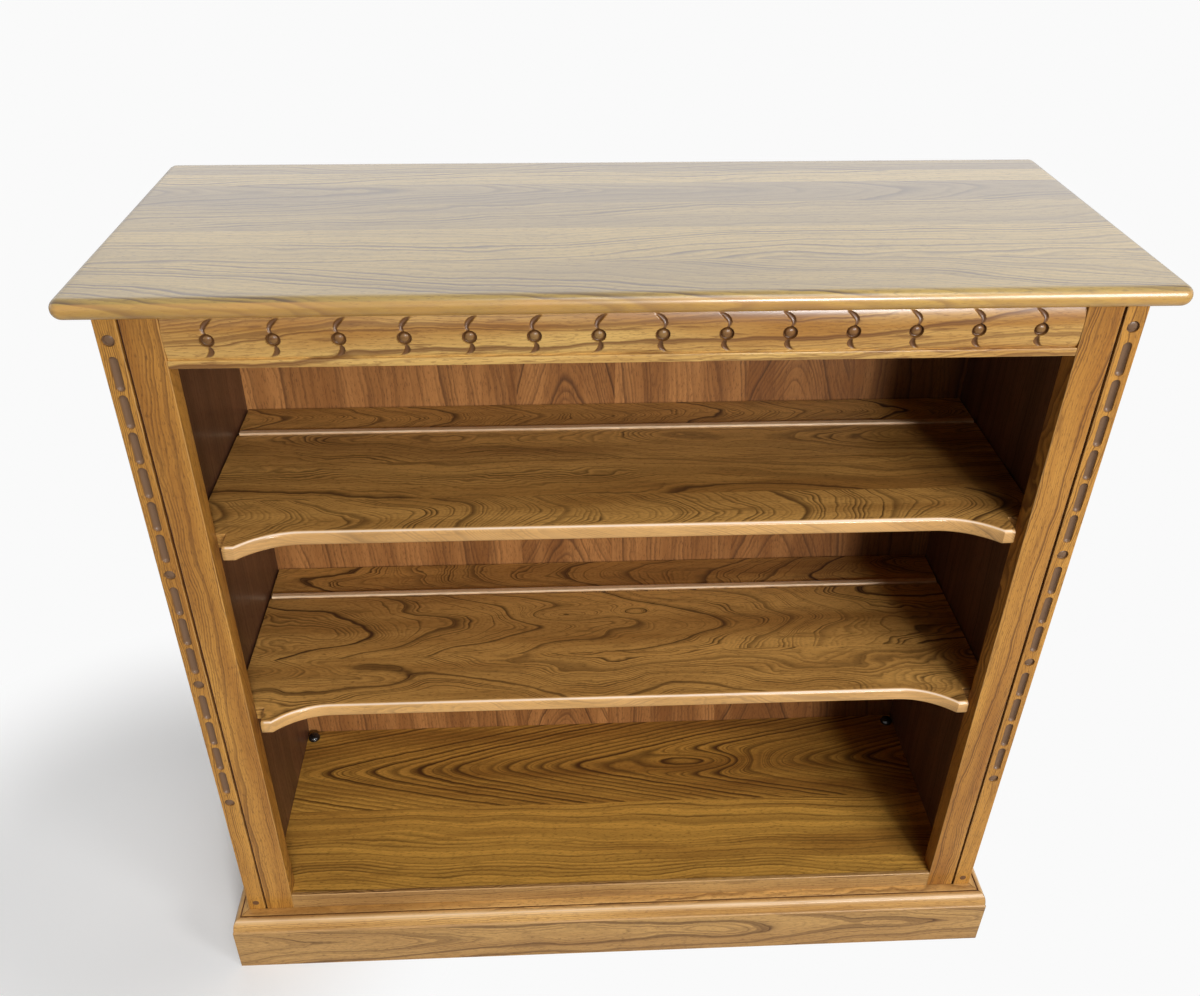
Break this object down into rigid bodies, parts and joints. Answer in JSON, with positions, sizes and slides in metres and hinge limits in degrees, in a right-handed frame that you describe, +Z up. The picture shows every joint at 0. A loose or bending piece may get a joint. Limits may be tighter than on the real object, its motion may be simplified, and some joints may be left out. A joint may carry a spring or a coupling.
{
  "type": "open bookcase",
  "caption": "Low wide open bookcase in waxed elm: bullnosed top, carved frieze and posts, loose shelves with swept-back fronts, moulded plinth.",
  "frame": {"origin": "centre of the footprint's bounding box, on the floor under the plinth", "axes": "+Z up; the open front with its carved posts faces -Y; +X runs along the width, to the right seen from the front"},
  "size_m": [1.01, 0.379, 0.97],
  "materials": {
    "elm_golden": "satin golden elm, waxed",
    "elm_top": "satin elm, waxed, paler under the window light",
    "elm_shelf": "satin elm, waxed",
    "elm_red_veneer": "satin elm veneer",
    "hidden_softwood": "bare sawn wood",
    "dark_plug": "dark wood plug",
    "black_plastic": "glossy black",
    "brass": "satin",
    "zinc_steel": "zinc plated"
  },
  "bodies": {
    "case": {"base_moulding_front": "elm_golden", "base_moulding_left": "elm_golden", "base_moulding_right": "elm_golden", "bottom_lipping": "elm_golden", "carved_post_left": "elm_golden", "carved_post_right": "elm_golden", "frieze_rail": "elm_golden", "inner_stile_left": "elm_golden", "inner_stile_right": "elm_golden", "plinth_front": "elm_golden", "plinth_left": "elm_golden", "plinth_right": "elm_golden", "top_board": "elm_top", "bottom_board": "elm_shelf", "back_panel": "elm_red_veneer", "side_panel_left": "elm_red_veneer", "side_panel_right": "elm_red_veneer", "bottom_front_rail": "hidden_softwood", "glue_block_front_left": "hidden_softwood", "glue_block_front_right": "hidden_softwood", "glue_block_rear_left": "hidden_softwood", "glue_block_rear_right": "hidden_softwood", "rear_bottom_rail": "hidden_softwood", "rear_top_rail": "hidden_softwood", "top_batten_left": "hidden_softwood", "top_batten_right": "hidden_softwood", "foot_plug_left": "dark_plug", "foot_plug_right": "dark_plug", "corner_cap_left": "black_plastic", "corner_cap_right": "black_plastic", "shelf_peg_lower_front_left": "brass", "shelf_peg_lower_front_right": "brass", "shelf_peg_lower_rear_left": "brass", "shelf_peg_lower_rear_right": "brass", "shelf_peg_upper_front_left": "brass", "shelf_peg_upper_front_right": "brass", "shelf_peg_upper_rear_left": "brass", "shelf_peg_upper_rear_right": "brass", "top_screw_front_left": "zinc_steel", "top_screw_front_right": "zinc_steel", "top_screw_rear_left": "zinc_steel", "top_screw_rear_right": "zinc_steel"},
    "shelf_upper_body": {"shelf_upper": "elm_shelf", "book_stop_upper": "elm_golden"},
    "shelf_lower_body": {"shelf_lower": "elm_shelf", "book_stop_lower": "elm_golden"}
  },
  "joints": [
    {"name": "upper_shelf_lift", "type": "slide", "parent": "case", "child": "shelf_upper_body", "axis": [0, 0, 1], "range_m": [0, 0.2]},
    {"name": "lower_shelf_lift", "type": "slide", "parent": "case", "child": "shelf_lower_body", "axis": [0, 0, 1], "range_m": [0, 0.2]}
  ]
}
